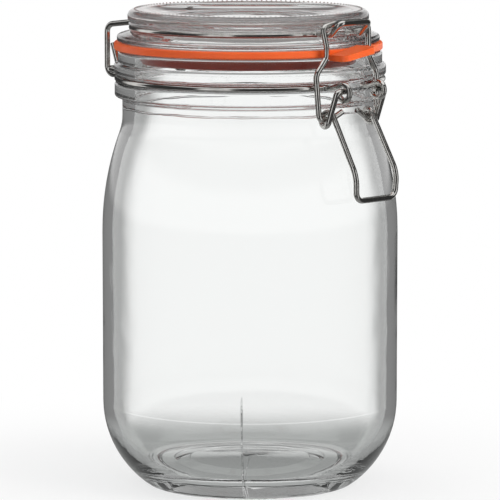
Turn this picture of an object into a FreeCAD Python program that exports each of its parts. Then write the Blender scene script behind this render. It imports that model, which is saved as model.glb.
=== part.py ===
import FreeCAD, Part
import os
from math import acos, atan2, cos, degrees, hypot, radians, sin, sqrt, tan

# A one-litre preserving jar of clear glass with a hinged glass lid, a rubber
# gasket and a wire clip. Millimetres, +Z up. The origin is on the jar's axis in
# the plane it stands on. The clip is at the front (-Y), the hinge at the back
# (+Y), and X runs across both.

V = FreeCAD.Vector
FRONT = -1
BACK = 1

# the sizes that the rest follows
neck_radius = 46.5
body_height = 111.6
wire_radius = 1.05

# clearances
wire_play = 0.1
swing_play = 0.35
bail_play = 0.5
pin_spacing = 2 * wire_radius + swing_play

# roundings of the pressed glass
sharp_rounding = 0.3
groove_rounding = 0.4
foot_rounding = 0.7
edge_rounding = 0.9
bead_rounding = 1.2
recess_rounding = 2.0

# jar, outside: radii from the axis and heights above the standing plane
shoulder_width = 7.5
shoulder_radius = 105.5
shoulder_rise = 20.7
heel_radius = 37.2
heel_slope = 38.3
body_radius = neck_radius + shoulder_width
neck_foot_height = body_height + shoulder_rise
neck_foot_rounding = 19.5
neck_length = 10.3
bead_width = 2.8
lower_bead_length = 4.9
lower_bead_overhang = 1.0
lower_bead_radius = neck_radius + bead_width
lower_bead_bottom = neck_foot_height + neck_length
lower_bead_top = lower_bead_bottom + lower_bead_length
upper_bead_excess = 0.2
upper_bead_length = 3.9
upper_bead_radius = lower_bead_radius + upper_bead_excess
upper_bead_bottom = lower_bead_top + pin_spacing + swing_play
upper_bead_top = upper_bead_bottom + upper_bead_length
rim_width = 1.6
rim_length = 4.95
rim_radius = neck_radius + rim_width
rim_height = upper_bead_top + rim_length
bead_draft = 0.2
rim_draft = 0.7

# jar, inside and underneath
body_wall = 3.8
neck_wall = 4.5
bore_radius = neck_radius - neck_wall
inner_drop = 0.6
inner_heel_radius = 28.0
inner_heel_slope = 45.0
floor_inset = 15.0
floor_radius = body_radius - floor_inset
floor_height = 7.0
floor_rounding = 9.0
standing_ring_inset = 16.2
standing_ring_radius = body_radius - standing_ring_inset
standing_ring_width = 2.6
foot_width = 1.9
foot_rise = 1.3
foot_radius = standing_ring_radius + foot_width
recess_height = 2.2
recess_corner_run = 1.5
recess_step_inset = 9.6
recess_step_radius = standing_ring_radius - recess_step_inset
recess_step_width = 6.0
recess_step = 2.0
crown = 0.7

# neck wire: its groove, the hinge bar at the back and the eyes at the front
neck_wire_height = (lower_bead_top + upper_bead_bottom) / 2
neck_wire_radius = upper_bead_radius - 1.2
ring_bend = 2.5
hinge_reach = 9.0
hinge_out = neck_wire_radius + hinge_reach
hinge_height = neck_wire_height + 0.8
hinge_half_width = 18.0
hinge_corner = 2.2
hinge_rise_run = 8.0
hinge_rise_radius = 6.0
eye_reach = 6.7
eye_out = upper_bead_radius + eye_reach
eye_height = neck_wire_height - 1.2
eye_radius = pin_spacing + swing_play
eye_across = 8.9
eye_end_across = eye_across - 0.4
eye_end_angle = -150.0
eye_end_length = 0.5
coil_bends = 5
eye_neck_run = eye_radius + 3.1
eye_neck_radius = 3.5

# closing lever: its pivot in the eyes, its coils and its handle
lever_out = eye_out
lever_height = eye_height + 0.4
lever_end_across = eye_across - 2.3
lever_arm_across = eye_across + pin_spacing + 0.9
lever_bend = 1.7
coil_radius = pin_spacing
coil_clearance = 0.2
coil_out = neck_radius + coil_radius + wire_radius - coil_clearance
coil_drop = 1.2
coil_height = lower_bead_bottom - coil_radius - wire_radius - coil_drop
coil_end_across = lever_arm_across - pin_spacing
handle_across = 10.25
handle_knee_out = lever_out + 7.7
handle_knee_height = lever_height - 29.5
handle_knee_radius = 12.0
handle_bottom_out = lever_out + 7.3
handle_bottom_height = lever_height - 38.25
handle_bottom_across = 9.8
handle_corner = 3.2

# rubber gasket between rim and lid; it and the lid sit a little towards the hinge
lid_shift = 0.9
gasket_gap = 0.3
gasket_thickness = 2.7
gasket_overhang = 0.8
gasket_radius = rim_radius + gasket_overhang
gasket_rounding = 0.6
gasket_top = rim_height + gasket_gap + gasket_thickness
seal_gap = 0.05
seat_height = gasket_top + seal_gap

# glass lid: heights above its underside, the seat
plug_play = 1.4
plug_radius = bore_radius - plug_play
plug_drop = 2.6
plug_width = 2.0
gasket_bore_radius = plug_radius + 0.7
crown_radius = plug_radius - plug_width - 2.0
crown_foot = 2.4
crown_height = 4.7
crown_rounding = 4.0
skirt_inset = 1.1
skirt_radius = gasket_radius - skirt_inset
skirt_height = 2.5
skirt_slope_width = 5.0
lid_groove_rise = 4.05
lid_waist_radius = skirt_radius - skirt_slope_width
lid_wire_radius = lid_waist_radius - 0.4
lid_wire_height = seat_height + lid_groove_rise + wire_radius + wire_play
lid_groove_top = lid_wire_height + wire_radius + wire_play
lip_width = 0.7
lip_thickness = 0.35
lip_radius = lid_waist_radius + lip_width
lip_height = lid_groove_top + lip_thickness
lid_waist_height = lip_height + 0.55
lid_rim_width = 1.1
lid_rim_radius = lid_waist_radius + lid_rim_width
lid_rim_rounding = 2.4
lid_rim_underside = lid_waist_height + 1.05
lid_rim_thickness = 3.45
lid_top = lid_rim_underside + lid_rim_thickness
dish_rim_width = 6.1
dish_radius = lid_rim_radius - dish_rim_width
dish_rounding = 3.0
dish_slope_width = 8.8
dish_floor_radius = dish_radius - dish_slope_width
dish_floor_rounding = 10.0
dish_depth = 2.5

# closing bail: from its feet in the lever's coils to its bar behind the nose
bail_foot_across = lever_arm_across + pin_spacing
bail_bend_across = bail_foot_across + 0.6
bail_bend_out = sqrt((upper_bead_radius + wire_radius + bail_play) ** 2 - bail_bend_across ** 2)
bail_bend_height = upper_bead_top - 0.6
bail_knee_across = bail_foot_across - 4.1
bail_knee_out = sqrt((gasket_radius + wire_radius + bail_play) ** 2 - bail_knee_across ** 2)
bail_knee_height = rim_height + 0.65
bail_upper_height = seat_height + 1.25
bail_shoulder_out = bail_knee_out - 1.0
bail_shoulder_across = bail_knee_across + 1.0
bail_bar_height = lid_wire_height + pin_spacing + 1.7
bail_shoulder_height = bail_bar_height - 1.2
bail_bar_out = bail_knee_out - 0.7
bail_bar_half_width = bail_shoulder_across - 5.1
bail_toe_out = coil_out + 0.8
bail_toe_height = coil_height + 2.4
bail_toe_bend_across = coil_end_across - 1.65
bail_toe_across = bail_toe_bend_across - 4.4
bail_toe_radius = 2.0
bail_foot_radius = 1.8
bail_bend_radius = 5.0
bail_knee_radius = 2.2
bail_upper_radius = 3.0
bail_shoulder_radius = 1.9
bail_bar_radius = 7.0

# lid wire: the two hinge arms and the nose that the bail holds
arm_across = 14.4
arm_level_run = 4.0
arm_level_radius = 8.0
arm_out = hinge_out + pin_spacing + 1.35
arm_top_drop = 1.7
arm_bend = 3.2
hook_bottom = hinge_height - pin_spacing
hook_inner_out = hinge_out - pin_spacing - 1.1
hook_end_out = hinge_out + 0.7
hook_end_height = hinge_height + 9.3
hook_corner_radius = 2.2
nose_half_width = bail_knee_across - 3.0
nose_foot_out = bail_bar_out - 0.4
nose_out = bail_bar_out + 4.4
nose_height = lid_wire_height + 4.5
nose_foot_radius = 2.2
nose_corner_radius = 1.9

# gasket tab, between the bail's legs
tab_half_width = bail_knee_across - pin_spacing
tab_reach = gasket_radius + 7.5
tab_overlap = 6.0
tab_corner = 2.6
tab_thickness = 2.2
tab_tilt = 9.0
tab_lift = 0.2


def rounded_edges(corners):
    """Straight edges through corners [(point, bend radius), ...], each bend a tangent arc."""
    points = [p for p, _ in corners]
    edges = []
    here = points[0]
    for i in range(1, len(points) - 1):
        back = (points[i - 1] - points[i]).normalize()
        ahead = (points[i + 1] - points[i]).normalize()
        half = acos(max(-1.0, min(1.0, back.dot(ahead)))) / 2
        bend = corners[i][1]
        reach = bend / tan(half)
        start = points[i] + back * reach
        end = points[i] + ahead * reach
        bisector = (back + ahead).normalize()
        middle = points[i] + bisector * (bend / sin(half) - bend)
        if here.distanceToPoint(start) > 1e-6:
            edges.append(Part.LineSegment(here, start).toShape())
        edges.append(Part.Arc(start, middle, end).toShape())
        here = end
    if here.distanceToPoint(points[-1]) > 1e-6:
        edges.append(Part.LineSegment(here, points[-1]).toShape())
    return edges


def turned(corners):
    """A solid turned about Z from the closed outline [(radius, height, rounding), ...]."""
    first, second = corners[0], corners[1]
    start = V((first[0] + second[0]) / 2, 0, (first[1] + second[1]) / 2)
    plain = [(V(r, 0, z), rounding) for r, z, rounding in corners[1:] + corners[:1]]
    edges = []
    run = [(start, 0)]
    for point, rounding in plain + [(start, 0)]:
        run.append((point, rounding))
        if rounding == 0:
            edges += rounded_edges(run)
            run = [(point, 0)]
    outline = Part.Wire(Part.__sortEdges__(edges))
    return Part.Face(outline).revolve(V(0, 0, 0), V(0, 0, 1), 360)


def bent_wire(half, middle):
    """Round wire whose one half runs along edges to the middle point, and its mirror image in X = 0."""
    across = V(1, 0, 0)
    spine = Part.Wire(Part.__sortEdges__(half))
    section = Part.Face(Part.Wire(Part.makeCircle(wire_radius, middle, across)))
    right = spine.makePipe(section)
    left = right.mirror(V(0, 0, 0), across)
    return right.fuse(left).removeSplitter().Solids[0]


def out_at(side, across, out, height):
    """A point of the clip (side FRONT) or the hinge (side BACK)."""
    return V(across, side * out, height)


def turn_off_ring(side, ring_radius, across, bend, height):
    """The bend that takes a wire off its ring, outward at a given distance from X = 0.

    Returns the arc, its end on the ring and its end on the outward run.
    """
    centre_across = across + bend
    centre_out = sqrt((ring_radius + bend) ** 2 - centre_across ** 2)
    share = ring_radius / (ring_radius + bend)
    on_ring = out_at(side, centre_across * share, centre_out * share, height)
    on_run = out_at(side, across, centre_out, height)
    centre = out_at(side, centre_across, centre_out, height)
    toward = ((on_ring + on_run) * 0.5 - centre).normalize()
    arc = Part.Arc(on_ring, centre + toward * bend, on_run).toShape()
    return arc, on_ring, on_run


def ring_arc(radius, height, start, end):
    """The stretch of a ring on the side X > 0 between two of its points."""
    return Part.Arc(start, V(radius, 0, height), end).toShape()


def coil_corners(side, centre, radius, start_angle, sweep, across_start, across_end):
    """Corners of a coil in a plane across X, turning from +out through -height."""
    step = sweep / coil_bends
    reach = radius / cos(radians(step / 2))
    points = []
    for i in range(coil_bends):
        angle = radians(start_angle - (i + 0.5) * step)
        share = i / (coil_bends - 1)
        across = across_start + (across_end - across_start) * share
        out = centre[0] + reach * cos(angle)
        height = centre[1] + reach * sin(angle)
        points.append((out_at(side, across, out, height), radius))
    return points


def tangent_angle(centre, radius, point, turn):
    """Angle on a circle where the tangent from or to a point touches it; turn is +1 or -1."""
    rise = point[1] - centre[1]
    run = point[0] - centre[0]
    return degrees(atan2(rise, run) + turn * acos(radius / hypot(run, rise)))


def jar():
    groove_floor = neck_wire_radius - wire_radius - wire_play
    body_inner = body_radius - body_wall
    heel_inner_height = floor_height + (body_inner - floor_radius) * tan(radians(inner_heel_slope))
    heel_outer_height = foot_rise + (body_radius - foot_radius) * tan(radians(heel_slope))
    ring_inner = standing_ring_radius - standing_ring_width
    step_top_radius = recess_step_radius - recess_step_width
    return turned([
        (0, floor_height + crown, 0),
        (0, recess_height + recess_step + crown, 0),
        (step_top_radius, recess_height + recess_step, recess_rounding),
        (recess_step_radius, recess_height, recess_rounding),
        (ring_inner - recess_corner_run, recess_height, bead_rounding),
        (ring_inner, 0, foot_rounding),
        (standing_ring_radius, 0, foot_rounding),
        (foot_radius, foot_rise, foot_rounding),
        (body_radius, heel_outer_height, heel_radius),
        (body_radius, body_height, shoulder_radius),
        (neck_radius, neck_foot_height, neck_foot_rounding),
        (neck_radius, lower_bead_bottom - lower_bead_overhang, edge_rounding),
        (lower_bead_radius, lower_bead_bottom, bead_rounding),
        (lower_bead_radius, lower_bead_top, edge_rounding),
        (groove_floor, lower_bead_top + bead_draft, groove_rounding),
        (groove_floor, upper_bead_bottom - bead_draft, groove_rounding),
        (upper_bead_radius, upper_bead_bottom, bead_rounding),
        (upper_bead_radius, upper_bead_top, bead_rounding),
        (rim_radius, upper_bead_top + rim_draft, sharp_rounding),
        (rim_radius, rim_height, bead_rounding),
        (bore_radius, rim_height, bead_rounding),
        (bore_radius, neck_foot_height + inner_drop, neck_foot_rounding),
        (body_inner, body_height - inner_drop, shoulder_radius - body_wall),
        (body_inner, heel_inner_height, inner_heel_radius),
        (floor_radius, floor_height, floor_rounding),
    ])


def lid():
    groove_floor = lid_wire_radius - wire_radius - wire_play
    groove_bottom = seat_height + lid_groove_rise
    glass = turned([
        (0, seat_height + crown_height, 0),
        (0, lid_top - dish_depth, 0),
        (dish_floor_radius, lid_top - dish_depth, dish_floor_rounding),
        (dish_radius, lid_top, dish_rounding),
        (lid_rim_radius, lid_top, lid_rim_rounding),
        (lid_rim_radius, lid_rim_underside, bead_rounding / 2),
        (lid_waist_radius, lid_waist_height, foot_rounding),
        (lip_radius, lip_height, sharp_rounding),
        (lip_radius, lid_groove_top, sharp_rounding / 3),
        (groove_floor, lid_groove_top, groove_rounding),
        (groove_floor, groove_bottom, groove_rounding),
        (lid_waist_radius, groove_bottom, sharp_rounding),
        (skirt_radius, seat_height + skirt_height, bead_rounding),
        (skirt_radius, seat_height, edge_rounding),
        (plug_radius, seat_height, sharp_rounding),
        (plug_radius, seat_height - plug_drop, foot_rounding),
        (plug_radius - plug_width, seat_height - plug_drop, foot_rounding),
        (crown_radius, seat_height + crown_foot, crown_rounding),
    ])
    glass.translate(V(0, BACK * lid_shift, 0))
    return glass


def gasket():
    bottom = gasket_top - gasket_thickness
    ring = turned([
        (gasket_bore_radius, bottom + gasket_thickness / 2, 0),
        (gasket_bore_radius, bottom, sharp_rounding),
        (gasket_radius, bottom, gasket_rounding),
        (gasket_radius, gasket_top, gasket_rounding),
        (gasket_bore_radius, gasket_top, sharp_rounding),
    ])
    ring.translate(V(0, BACK * lid_shift, 0))
    root = gasket_radius - tab_overlap
    half = tab_thickness / 2
    left_root = V(-tab_half_width, FRONT * root, -half)
    right_root = V(tab_half_width, FRONT * root, -half)
    outline = rounded_edges([
        (left_root, 0),
        (V(-tab_half_width, FRONT * tab_reach, -half), tab_corner),
        (V(tab_half_width, FRONT * tab_reach, -half), tab_corner),
        (right_root, 0),
    ])
    outline.append(Part.LineSegment(right_root, left_root).toShape())
    tab = Part.Face(Part.Wire(Part.__sortEdges__(outline))).extrude(V(0, 0, tab_thickness))
    tab.rotate(V(0, 0, 0), V(0, 1, 0), -tab_tilt)
    tab.translate(V(0, 0, bottom + half + tab_lift))
    centre = V(0, BACK * lid_shift, 0)
    above = Part.makeCylinder(skirt_radius + wire_play, tab_reach, centre + V(0, 0, gasket_top))
    below = Part.makeCylinder(rim_radius + 2 * gasket_gap, tab_reach, V(0, 0, bottom - tab_reach))
    return ring.fuse(tab.cut(above).cut(below)).removeSplitter().Solids[0]


def neck_wire():
    height = neck_wire_height
    neck_end = (eye_out - eye_neck_run, height)
    centre = (eye_out, eye_height)
    touch = tangent_angle(centre, eye_radius, neck_end, -1)
    sweep = touch - eye_end_angle
    eye = coil_corners(FRONT, centre, eye_radius, touch, sweep, eye_across, eye_end_across)
    last_bend = eye[-1][0]
    last = radians(eye_end_angle)
    on_eye = (eye_out + eye_radius * cos(last), eye_height + eye_radius * sin(last))
    touching = out_at(FRONT, eye_end_across, *on_eye)
    eye_end = touching + (touching - last_bend).normalize() * eye_end_length
    ring = neck_wire_radius
    front_arc, front_ring, front_run = turn_off_ring(FRONT, ring, eye_across, ring_bend, height)
    back_arc, back_ring, back_run = turn_off_ring(BACK, ring, hinge_half_width, ring_bend, height)
    middle = out_at(BACK, 0, hinge_out, hinge_height)
    half = rounded_edges([
        (eye_end, 0),
        *eye[::-1],
        (out_at(FRONT, eye_across, *neck_end), eye_neck_radius),
        (front_run, 0),
    ])
    half += [front_arc, ring_arc(ring, height, front_ring, back_ring), back_arc]
    half += rounded_edges([
        (back_run, 0),
        (out_at(BACK, hinge_half_width, hinge_out - hinge_rise_run, height), hinge_rise_radius),
        (out_at(BACK, hinge_half_width, hinge_out, hinge_height), hinge_corner),
        (middle, 0),
    ])
    return bent_wire(half, middle)


def lid_wire():
    """Laid out about the lid's own axis, then moved with the lid; hooks and nose keep their place."""
    height = lid_wire_height
    foot_out = nose_foot_out + lid_shift
    tip_out = nose_out + lid_shift
    arm = arm_out - lid_shift
    ring = lid_wire_radius
    front_arc, front_ring, front_run = turn_off_ring(FRONT, ring, nose_half_width, ring_bend, height)
    back_arc, back_ring, back_run = turn_off_ring(BACK, ring, arm_across, ring_bend, height)
    hook_end = out_at(BACK, arm_across, hook_end_out - lid_shift, hook_end_height)
    hook_corner = out_at(BACK, arm_across, hook_inner_out - lid_shift, hook_bottom)
    middle = out_at(FRONT, 0, tip_out, nose_height)
    half = rounded_edges([
        (hook_end, 0),
        (hook_corner, hook_corner_radius),
        (out_at(BACK, arm_across, arm, hook_bottom), arm_bend),
        (out_at(BACK, arm_across, arm, height - arm_top_drop), arm_bend),
        (out_at(BACK, arm_across, ring + arm_level_run, height), arm_level_radius),
        (back_run, 0),
    ])
    half += [back_arc, ring_arc(ring, height, front_ring, back_ring), front_arc]
    half += rounded_edges([
        (front_run, 0),
        (out_at(FRONT, nose_half_width, foot_out, height), nose_foot_radius),
        (out_at(FRONT, nose_half_width, tip_out, nose_height), nose_corner_radius),
        (middle, 0),
    ])
    wire = bent_wire(half, middle)
    wire.translate(V(0, BACK * lid_shift, 0))
    return wire


def closing_lever():
    pivot = (lever_out, lever_height)
    coil = (coil_out, coil_height)
    knee = (handle_knee_out, handle_knee_height)
    touch = tangent_angle(coil, coil_radius, pivot, -1)
    leave = tangent_angle(coil, coil_radius, knee, 1)
    sweep = touch - leave + 360
    end = out_at(FRONT, lever_end_across, *pivot)
    elbow = out_at(FRONT, lever_arm_across, *pivot)
    middle = out_at(FRONT, 0, handle_bottom_out, handle_bottom_height)
    half = rounded_edges(
        [(end, 0), (elbow, lever_bend)]
        + coil_corners(FRONT, coil, coil_radius, touch, sweep, lever_arm_across, coil_end_across)
        + [
            (out_at(FRONT, handle_across, *knee), handle_knee_radius),
            (out_at(FRONT, handle_bottom_across, handle_bottom_out, handle_bottom_height), handle_corner),
            (middle, 0),
        ]
    )
    return bent_wire(half, middle)


def closing_bail():
    toe = out_at(FRONT, bail_toe_across, bail_toe_out, bail_toe_height)
    toe_bend = out_at(FRONT, bail_toe_bend_across, coil_out, coil_height)
    shoulder = out_at(FRONT, bail_shoulder_across, bail_shoulder_out, bail_shoulder_height)
    middle = out_at(FRONT, 0, bail_bar_out, bail_bar_height)
    half = rounded_edges([
        (toe, 0),
        (toe_bend, bail_toe_radius),
        (out_at(FRONT, bail_foot_across, coil_out, coil_height), bail_foot_radius),
        (out_at(FRONT, bail_bend_across, bail_bend_out, bail_bend_height), bail_bend_radius),
        (out_at(FRONT, bail_knee_across, bail_knee_out, bail_knee_height), bail_knee_radius),
        (out_at(FRONT, bail_knee_across, bail_knee_out, bail_upper_height), bail_upper_radius),
        (shoulder, bail_shoulder_radius),
        (out_at(FRONT, bail_bar_half_width, bail_bar_out, bail_bar_height), bail_bar_radius),
        (middle, 0),
    ])
    return bent_wire(half, middle)


pieces = {
    "jar": jar,
    "neck_wire": neck_wire,
    "lid": lid,
    "gasket": gasket,
    "lid_wire": lid_wire,
    "closing_lever": closing_lever,
    "closing_bail": closing_bail,
}

os.makedirs("parts", exist_ok=True)
for name, make in pieces.items():
    shape = make()
    shape.exportStep("parts/%s.step" % name)
    print(name, shape.ShapeType, "valid", shape.isValid(), "volume %.0f mm3" % shape.Volume)
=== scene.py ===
import bmesh
import bpy
from math import cos, pi, radians, sin
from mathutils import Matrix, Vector


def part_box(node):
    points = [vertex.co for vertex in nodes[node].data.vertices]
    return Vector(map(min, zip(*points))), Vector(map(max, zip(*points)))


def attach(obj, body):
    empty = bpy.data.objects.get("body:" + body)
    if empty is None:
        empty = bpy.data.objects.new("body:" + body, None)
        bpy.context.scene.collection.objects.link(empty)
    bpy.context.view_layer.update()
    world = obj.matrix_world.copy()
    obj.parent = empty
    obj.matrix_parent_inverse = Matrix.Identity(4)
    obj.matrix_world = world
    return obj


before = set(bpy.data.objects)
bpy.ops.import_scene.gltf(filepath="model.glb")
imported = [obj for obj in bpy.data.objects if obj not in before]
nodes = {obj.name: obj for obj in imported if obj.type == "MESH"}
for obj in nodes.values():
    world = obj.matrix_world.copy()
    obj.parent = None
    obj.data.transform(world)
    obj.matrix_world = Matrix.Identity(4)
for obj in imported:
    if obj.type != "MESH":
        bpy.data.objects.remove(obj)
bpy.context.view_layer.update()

# Metres throughout, in the CAD frame: +Z up, the clip towards -Y, the hinge towards +Y.
rim_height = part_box("jar")[1][2]
lid_low, lid_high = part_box("lid")
top_height = lid_high[2]

# camera: where it stands and what it aims at
camera_azimuth = radians(-44.5)
camera_distance = 1.435
camera_height = 0.280
aim_height = 0.0855
camera_lens = 284.6

# dots on the lid
dot_count = 140
dot_ring = 0.0413
dot_radius = 0.0003

# gasket lip: its middle line as (radius, drop below its top), from the rim down into the mouth
lip_drop = 0.0004
lip_half_thickness = 0.0005
lip_path = [(0.0403, 0), (0.0397, 0.0012), (0.0391, 0.0024), (0.0386, 0.0034)]
lip_segments = 160

# mould marks in the jar's glass: a line round the neck's foot and a seam low on the body
parting_height = 0.1387
parting_wander = 0.0011
parting_half_width = 0.0003
seam_angle = radians(-137.7)
seam_full_height = 0.032
seam_top = 0.042
mark_depth = 0.0005

# colours
glass_tint = (0.985, 0.992, 0.988, 1)
glass_shadow = (0.86, 0.87, 0.87, 1)
wire_bright = (0.60, 0.59, 0.57, 1)
wire_dull = (0.44, 0.43, 0.41, 1)
rubber_deep = (0.70, 0.090, 0.012, 1)
rubber_light = (0.84, 0.135, 0.022, 1)
# painted shade: the rubber's colour where it is seen through glass
rubber_painted_shade = (0.38, 0.030, 0.004, 1)
refraction = 1.5

# floor
backdrop_white = 1.0
floor_radius = 4.0
floor_drop = 0.0002
floor_grey = (0.85, 0.85, 0.85, 1)
# painted shadow: the grey glow under the jar that the glass and the wire see
painted_shadow_grey = (0.93, 0.95, 0.94, 1)
painted_shadow_strength = 0.42

# soft boxes: name, azimuth and elevation in degrees, distance, size, power in watts
lamps = [
    ("key", 15, 35, 1.6, 0.9, 20),
    ("fill", -100, 30, 1.8, 1.2, 4),
    ("back", 180, 45, 1.8, 1.2, 8),
]


# ---------------------------------------------------------------- node helpers

def add_node(tree, kind, **inputs):
    """A shader node; keyword names are input sockets with underscores for spaces."""
    node = tree.nodes.new(kind)
    for name, value in inputs.items():
        set_input(tree, node.inputs[name.replace("_", " ")], value)
    return node


def set_input(tree, socket, value):
    if isinstance(value, bpy.types.NodeSocket):
        tree.links.new(value, socket)
    else:
        socket.default_value = value


def math_node(tree, operation, first, second=None, third=None):
    node = tree.nodes.new("ShaderNodeMath")
    node.operation = operation
    for socket, value in zip(node.inputs, (first, second, third)):
        if value is not None:
            set_input(tree, socket, value)
    return node.outputs[0]


def blend_colours(tree, share, first, second):
    node = tree.nodes.new("ShaderNodeMix")
    node.data_type = "RGBA"
    set_input(tree, node.inputs[0], share)
    set_input(tree, node.inputs[6], first)
    set_input(tree, node.inputs[7], second)
    return node.outputs[2]


def mix_shaders(tree, share, first, second):
    """first where share is 0 and second where it is 1."""
    node = tree.nodes.new("ShaderNodeMixShader")
    for socket, source in zip(node.inputs, (share, first, second)):
        tree.links.new(source, socket)
    return node.outputs[0]


def share_of(tree, share, first, second):
    """The number first where share is 0 and second where it is 1."""
    step = math_node(tree, "SUBTRACT", second, first)
    return math_node(tree, "MULTIPLY_ADD", share, step, first)


def spread(tree, value, low, high, to_low=0.0, to_high=1.0):
    """Maps low..high to to_low..to_high with soft ends."""
    node = tree.nodes.new("ShaderNodeMapRange")
    node.interpolation_type = "SMOOTHSTEP"
    for socket, number in zip(node.inputs, (value, low, high, to_low, to_high)):
        set_input(tree, socket, number)
    return node.outputs[0]


def band(tree, value, start, full, end_full, end):
    """0 outside start..end, 1 between full and end_full, soft in between."""
    rise = spread(tree, value, start, full)
    fall = spread(tree, value, end_full, end, 1.0, 0.0)
    return math_node(tree, "MULTIPLY", rise, fall)


def object_place(tree):
    """The surface point in the object's own metres."""
    return tree.nodes.new("ShaderNodeTexCoord").outputs["Object"]


def split(tree, vector):
    """The X, Y and Z of a vector."""
    node = tree.nodes.new("ShaderNodeSeparateXYZ")
    tree.links.new(vector, node.inputs[0])
    return node.outputs[0], node.outputs[1], node.outputs[2]


def noise(tree, place, scale, detail):
    return add_node(tree, "ShaderNodeTexNoise", Vector=place, Scale=scale, Detail=detail).outputs[0]


def bump(tree, height, distance, strength, normal=None):
    node = add_node(tree, "ShaderNodeBump", Height=height, Distance=distance, Strength=strength)
    if normal is not None:
        tree.links.new(normal, node.inputs["Normal"])
    return node.outputs[0]


def new_material(name):
    material = bpy.data.materials.new(name)
    material.use_nodes = True
    tree = material.node_tree
    tree.nodes.clear()
    output = tree.nodes.new("ShaderNodeOutputMaterial")
    return material, tree, output


# ---------------------------------------------------------------- materials

def glass_material(name, relief=None):
    """Clear pressed glass, faintly uneven; shadows let most of the light through."""
    material, tree, output = new_material(name)
    place = object_place(tree)
    normal = bump(tree, noise(tree, place, 28.0, 2.0), 0.0006, 0.35)
    if relief:
        normal = relief(tree, place, normal)
    glass = add_node(
        tree, "ShaderNodeBsdfPrincipled",
        Base_Color=glass_tint, Roughness=0.0, IOR=refraction, Transmission_Weight=1.0, Normal=normal,
    )
    clear = add_node(tree, "ShaderNodeBsdfTransparent", Color=glass_shadow)
    rays = tree.nodes.new("ShaderNodeLightPath")
    shader = mix_shaders(tree, rays.outputs["Is Shadow Ray"], glass.outputs[0], clear.outputs[0])
    tree.links.new(shader, output.inputs[0])
    return material


def mould_marks(tree, place, normal):
    """The mould's parting line round the foot of the neck and its side seam low on the body."""
    x, y, z = split(tree, place)
    wander = math_node(
        tree, "MULTIPLY_ADD", noise(tree, place, 45.0, 3.0), 2 * parting_wander, -parting_wander,
    )
    height = math_node(tree, "ADD", z, wander)
    line = band(
        tree, height,
        parting_height - parting_half_width, parting_height, parting_height, parting_height + parting_half_width,
    )
    angle = math_node(tree, "ARCTAN2", y, x)
    offset = math_node(tree, "ABSOLUTE", math_node(tree, "SUBTRACT", angle, seam_angle))
    side = spread(tree, offset, 0.002, 0.006, 1.0, 0.0)
    low = spread(tree, z, seam_full_height, seam_top, 1.0, 0.0)
    broken = spread(tree, noise(tree, place, 400.0, 2.0), 0.35, 0.6)
    seam = math_node(tree, "MULTIPLY", math_node(tree, "MULTIPLY", side, low), broken)
    return bump(tree, math_node(tree, "MAXIMUM", line, seam), mark_depth, 0.6, normal)


def wire_material():
    """Bright drawn and plated steel wire with a few dull patches."""
    material, tree, output = new_material("plated_wire")
    place = object_place(tree)
    patches = noise(tree, place, 260.0, 3.0)
    fine = noise(tree, place, 2600.0, 2.0)
    colour = blend_colours(tree, spread(tree, patches, 0.35, 0.75), wire_bright, wire_dull)
    roughness = spread(tree, patches, 0.3, 0.8, 0.10, 0.24)
    shader = add_node(
        tree, "ShaderNodeBsdfPrincipled",
        Base_Color=colour, Metallic=1.0, Roughness=roughness, Normal=bump(tree, fine, 0.00005, 0.3),
    )
    tree.links.new(shader.outputs[0], output.inputs[0])
    return material


def rubber_material():
    """Orange-red natural rubber, slightly translucent, with a fine powdery mottle.

    Where a ray has passed glass before it meets the rubber, the colour is written darker: painted shade on the
    rubber seen through the glass.
    """
    material, tree, output = new_material("gasket_rubber")
    place = object_place(tree)
    mottle = noise(tree, place, 180.0, 4.0)
    grain = noise(tree, place, 2200.0, 3.0)
    colour = blend_colours(tree, mottle, rubber_deep, rubber_light)
    # painted shade: behind glass the rubber's colour is darkened
    rays = tree.nodes.new("ShaderNodeLightPath")
    painted_shade_through_glass = spread(tree, rays.outputs["Transmission Depth"], 0.0, 1.0)
    colour = blend_colours(tree, painted_shade_through_glass, colour, rubber_painted_shade)
    shader = add_node(
        tree, "ShaderNodeBsdfPrincipled",
        Base_Color=colour, Roughness=spread(tree, grain, 0.2, 0.8, 0.38, 0.55), IOR=refraction,
        Subsurface_Weight=0.25, Normal=bump(tree, grain, 0.00006, 0.35),
    )
    shader.inputs["Subsurface Radius"].default_value = (0.002, 0.0006, 0.0003)
    shader.inputs["Subsurface Scale"].default_value = 1.0
    tree.links.new(shader.outputs[0], output.inputs[0])
    return material


def dress(node, material):
    mesh = nodes[node].data
    mesh.materials.clear()
    mesh.materials.append(material)


# ---------------------------------------------------------------- pieces

def smooth_piece(name, shape, material):
    """A smooth-shaded object made from a bmesh, which is freed."""
    mesh = bpy.data.meshes.new(name)
    shape.to_mesh(mesh)
    shape.free()
    for face in mesh.polygons:
        face.use_smooth = True
    mesh.materials.append(material)
    piece = bpy.data.objects.new(name, mesh)
    bpy.context.collection.objects.link(piece)
    return piece


def turned_shape(outline, centre, segments):
    """A ring turned about a vertical axis from a closed outline of (radius, height) points."""
    shape = bmesh.new()
    rings = []
    for i in range(segments):
        angle = 2 * pi * i / segments
        spots = [(centre.x + r * cos(angle), centre.y + r * sin(angle), h) for r, h in outline]
        rings.append([shape.verts.new(spot) for spot in spots])
    for i, ring in enumerate(rings):
        following = rings[(i + 1) % segments]
        for j in range(len(outline)):
            k = (j + 1) % len(outline)
            shape.faces.new((ring[j], following[j], following[k], ring[k]))
    bmesh.ops.recalc_face_normals(shape, faces=shape.faces)
    return shape


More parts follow.
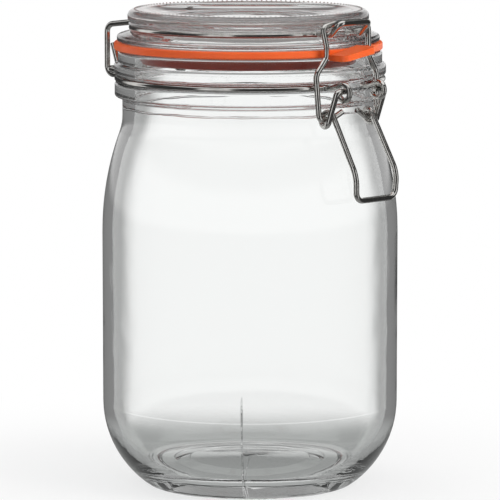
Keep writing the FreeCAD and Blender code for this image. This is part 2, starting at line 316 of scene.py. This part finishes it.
def make_lid_dots(glass):
    """The ring of small moulded dots on top of the lid's rim."""
    middle = (lid_low[1] + lid_high[1]) / 2
    down = Vector((0, 0, -1))
    shape = bmesh.new()
    for i in range(dot_count):
        angle = 2 * pi * i / dot_count
        above = Vector((dot_ring * cos(angle), middle + dot_ring * sin(angle), 2 * top_height))
        spot = nodes["lid"].ray_cast(above, down)[1]
        dot = bmesh.ops.create_icosphere(shape, subdivisions=2, radius=dot_radius)
        bmesh.ops.translate(shape, verts=dot["verts"], vec=spot)
    dots = smooth_piece("lid_dots", shape, glass)
    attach(dots, "lid_body")


def make_gasket_lip(rubber):
    """The gasket's inner edge, which the lid presses down into the mouth."""
    centre = Vector(((lid_low[0] + lid_high[0]) / 2, (lid_low[1] + lid_high[1]) / 2, 0))
    top = rim_height - lip_drop
    half = lip_half_thickness
    path = [(radius, top - drop) for radius, drop in lip_path]
    outline = [(r + half, h) for r, h in path]
    outline.append((path[-1][0], path[-1][1] - half))
    outline += [(r - half, h) for r, h in reversed(path)]
    outline.append((path[0][0], top + half / 2))
    lip = smooth_piece("gasket_lip", turned_shape(outline, centre, lip_segments), rubber)
    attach(lip, "lid_body")


# ---------------------------------------------------------------- studio

def make_world():
    """White to the camera; glass and wire see white walls with grey cards and soft boxes instead."""
    world = bpy.data.worlds.new("studio")
    world.use_nodes = True
    bpy.context.scene.world = world
    tree = world.node_tree
    tree.nodes.clear()
    output = tree.nodes.new("ShaderNodeOutputWorld")
    direction = tree.nodes.new("ShaderNodeTexCoord").outputs["Generated"]
    x, y, rise = split(tree, direction)
    azimuth = math_node(tree, "ARCTAN2", y, x)
    eighths = math_node(tree, "COSINE", math_node(tree, "MULTIPLY", azimuth, 8.0))
    quarters = math_node(tree, "COSINE", math_node(tree, "MULTIPLY_ADD", azimuth, 4.0, radians(-60)))

    def edge(start, full, below, above):
        """One level below an edge round the room and another above it; rise is the elevation's sine."""
        return share_of(tree, spread(tree, rise, start, full), below, above)

    # through the jar: white walls between grey cards, a black frieze above them, a lit ceiling
    walls = spread(tree, eighths, -0.6, 0.55, 0.30, 1.0)
    through = edge(0.50, 0.62, edge(0.10, 0.20, edge(-0.62, -0.40, 0.30, walls), 0.02), 0.90)

    # mirrored inside it once: the same room without the cards
    inside = edge(0.55, 0.68, edge(0.12, 0.24, 0.90, 0.05), 0.90)

    # past its edges, which outlines the glass: a dark room beside the jar
    beside = edge(0.42, 0.58, 0.25, 0.90)

    # mirrored on it: a dark floor, a white horizon, a frieze and the ceiling
    in_glass = edge(0.60, 0.72, edge(0.20, 0.32, edge(-0.06, 0.0, 0.13, 1.0), 0.10), 0.95)

    # mirrored in the wire: soft boxes round a dark room and one overhead
    boxes = math_node(
        tree, "MULTIPLY", spread(tree, quarters, 0.35, 0.7), band(tree, rise, -0.6, -0.45, 0.5, 0.65),
    )
    room = edge(-0.8, -0.6, 0.30, 0.045)
    in_wire = edge(0.68, 0.78, share_of(tree, boxes, room, 1.0), 1.2)

    # which of them a ray sees: by its kind, and by how much glass it has passed and mirrors it has met
    rays = tree.nodes.new("ShaderNodeLightPath")
    walls_passed = spread(tree, rays.outputs["Transmission Depth"], 2.0, 3.0)
    mirrors = spread(tree, rays.outputs["Glossy Depth"], 0.0, 1.0)
    clear = share_of(tree, mirrors, through, inside)
    bent = share_of(tree, mirrors, share_of(tree, 0.25, through, beside), beside)
    transmitted = share_of(tree, walls_passed, bent, clear)
    mirrored = share_of(tree, rays.outputs["Is Singular Ray"], in_wire, in_glass)
    strength = share_of(tree, rays.outputs["Is Glossy Ray"], 0.45, mirrored)
    strength = share_of(tree, rays.outputs["Is Transmission Ray"], strength, transmitted)
    strength = share_of(tree, rays.outputs["Is Camera Ray"], strength, backdrop_white)
    shader = add_node(tree, "ShaderNodeBackground", Color=(1, 1, 1, 1), Strength=strength)
    tree.links.new(shader.outputs[0], output.inputs[0])


def make_floor():
    """White floor that keeps a soft shadow near the jar and runs into the white backdrop; the glass and the wire
    see a painted shadow under the jar.
    """
    bpy.ops.mesh.primitive_circle_add(
        vertices=96, radius=floor_radius, fill_type="NGON", location=(0, 0, -floor_drop),
    )
    floor = bpy.context.object
    floor.name = "floor"
    material, tree, output = new_material("floor_white")
    length = tree.nodes.new("ShaderNodeVectorMath")
    length.operation = "LENGTH"
    tree.links.new(object_place(tree), length.inputs[0])
    distance = length.outputs["Value"]
    rays = tree.nodes.new("ShaderNodeLightPath")

    # the camera sees the shadow near the jar and plain white away from it
    lit = add_node(tree, "ShaderNodeBsdfDiffuse", Color=floor_grey)
    white = add_node(tree, "ShaderNodeEmission", Color=(1, 1, 1, 1), Strength=backdrop_white)
    away = spread(tree, distance, 0.02, 0.2, 0.55, 1.0)
    glow = math_node(tree, "MULTIPLY", rays.outputs["Is Camera Ray"], away)
    to_camera = mix_shaders(tree, glow, lit.outputs[0], white.outputs[0])

    # the glass and the wire see a painted shadow under the jar, a grey glow, and the room's walls beyond it
    painted_shadow_glow = add_node(tree, "ShaderNodeEmission", Color=painted_shadow_grey, Strength=painted_shadow_strength)
    open_air = add_node(tree, "ShaderNodeBsdfTransparent")
    to_glass = mix_shaders(tree, spread(tree, distance, 0.06, 0.15), painted_shadow_glow.outputs[0], open_air.outputs[0])

    seen_in_glass = math_node(
        tree, "MAXIMUM", rays.outputs["Is Glossy Ray"], rays.outputs["Is Transmission Ray"],
    )
    tree.links.new(mix_shaders(tree, seen_in_glass, to_camera, to_glass), output.inputs[0])
    floor.data.materials.append(material)


def soft_light(name, azimuth, elevation, distance, size, power):
    """A square soft box aimed at the jar; azimuth 0 stands in front of the clip."""
    a, e = radians(azimuth), radians(elevation)
    aim = Vector((0, 0, top_height / 2))
    place = aim + distance * Vector((sin(a) * cos(e), -cos(a) * cos(e), sin(e)))
    data = bpy.data.lights.new(name, "AREA")
    data.energy = power
    data.size = size
    light = bpy.data.objects.new(name, data)
    light.location = place
    light.rotation_euler = (aim - place).to_track_quat("-Z", "Y").to_euler()
    light.visible_glossy = False
    light.visible_transmission = False
    bpy.context.collection.objects.link(light)


def make_camera():
    data = bpy.data.cameras.new("camera")
    data.lens = camera_lens
    camera = bpy.data.objects.new("camera", data)
    ahead = camera_distance * cos(camera_azimuth)
    place = Vector((camera_distance * sin(camera_azimuth), -ahead, camera_height))
    camera.location = place
    camera.rotation_euler = (Vector((0, 0, aim_height)) - place).to_track_quat("-Z", "Y").to_euler()
    bpy.context.collection.objects.link(camera)
    bpy.context.scene.camera = camera


# ---------------------------------------------------------------- scene

lid_glass = glass_material("lid_glass")
rubber = rubber_material()
wire = wire_material()
dress("jar", glass_material("jar_glass", mould_marks))
dress("lid", lid_glass)
dress("gasket", rubber)
for name in ("neck_wire", "lid_wire", "closing_lever", "closing_bail"):
    dress(name, wire)

make_lid_dots(lid_glass)
make_gasket_lip(rubber)
make_world()
make_floor()
for lamp in lamps:
    soft_light(*lamp)
make_camera()

scene = bpy.context.scene
scene.view_settings.view_transform = "Standard"
scene.cycles.max_bounces = 24
scene.cycles.transmission_bounces = 24
scene.cycles.glossy_bounces = 8
scene.cycles.transparent_max_bounces = 24
